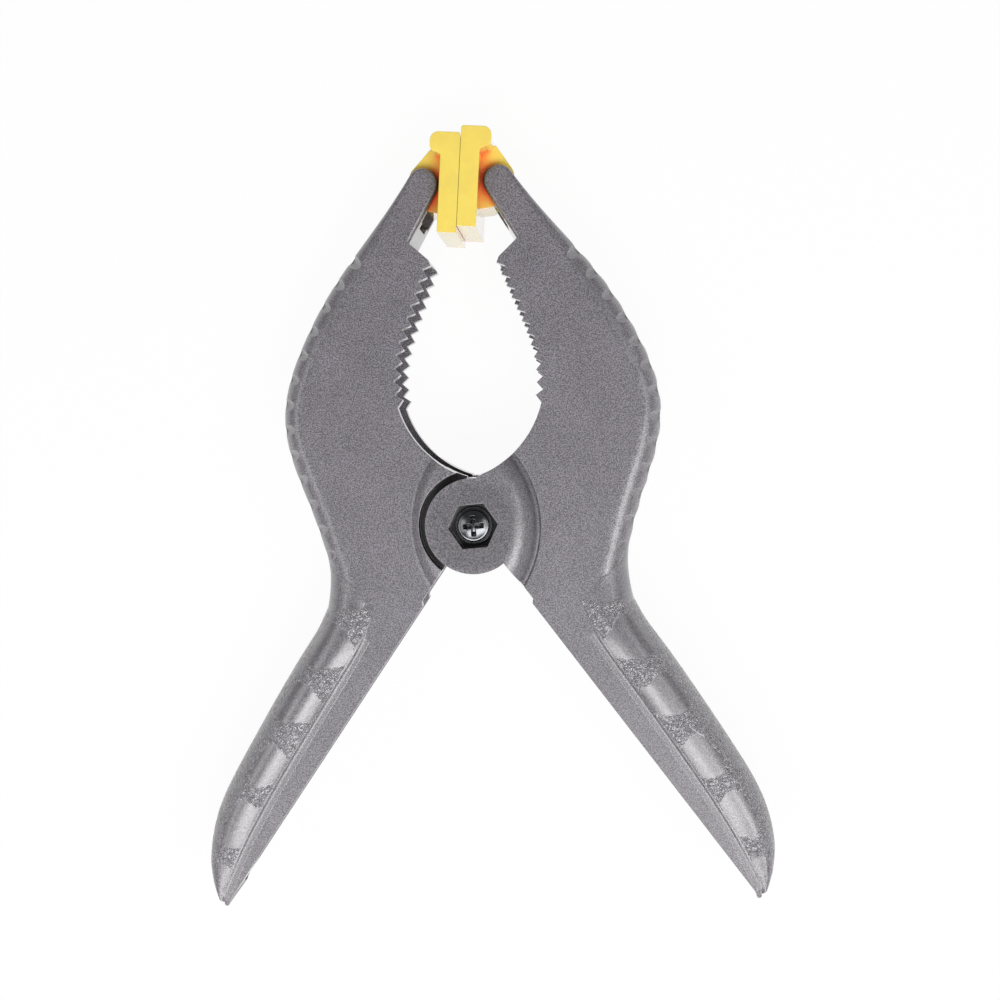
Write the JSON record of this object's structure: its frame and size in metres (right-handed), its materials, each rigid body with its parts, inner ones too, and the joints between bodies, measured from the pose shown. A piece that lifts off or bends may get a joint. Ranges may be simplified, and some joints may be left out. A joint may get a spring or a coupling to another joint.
{
  "type": "spring clamp",
  "caption": "Spring clamp: two hollow levers crossed at a sprung pivot, with a toothed throat, raised rounded grips and swivelling pads on forked arms.",
  "frame": {"origin": "on the pivot's axis, at the hub's lower face, where the sleeve nut's head is flush with it", "axes": "+Z along the pivot, up through the clamp as it lies flat; +Y from the pivot to the jaws; +X across the clamp, to the lever whose hub disc is uppermost"},
  "size_m": [0.174, 0.2301, 0.03],
  "materials": {
    "lever_nylon": "spark-eroded matt, leathery on the grips",
    "pad_orange": "smooth, slightly soft sheen",
    "spring_steel": "drawn wire, lightly oiled",
    "plated_steel": "zinc plated",
    "black_steel": "black, glossy"
  },
  "bodies": {
    "left_lever_body": {"left_lever": "lever_nylon", "pivot_sleeve_nut": "plated_steel", "pivot_screw": "black_steel", "screw_washer": "black_steel", "torsion_spring": "spring_steel"},
    "right_lever_body": {"right_lever": "lever_nylon"},
    "left_pad_body": {"left_pad": "pad_orange"},
    "right_pad_body": {"right_pad": "pad_orange"}
  },
  "joints": [
    {"name": "jaw_hinge", "type": "hinge", "parent": "left_lever_body", "child": "right_lever_body", "pos_m": [0, 0, 0.015], "axis": [0, 0, -1], "range_deg": [0, 60], "stiffness_Nm_per_rad": 2, "springref_deg": -57.3, "deforming": ["torsion_spring"]},
    {"name": "left_pad_swivel", "type": "hinge", "parent": "left_lever_body", "child": "left_pad_body", "pos_m": [-0.0111, 0.1007, 0.015], "axis": [0, 0, -1], "range_deg": [0, 25.2]},
    {"name": "right_pad_swivel", "type": "hinge", "parent": "right_lever_body", "child": "right_pad_body", "pos_m": [0.0111, 0.1007, 0.015], "axis": [0, 0, -1], "range_deg": [-34.8, 0]}
  ],
  "couplings": [
    {"joint": "left_pad_swivel", "follows": "jaw_hinge", "ratio": 0.42},
    {"joint": "right_pad_swivel", "follows": "jaw_hinge", "ratio": -0.58}
  ]
}
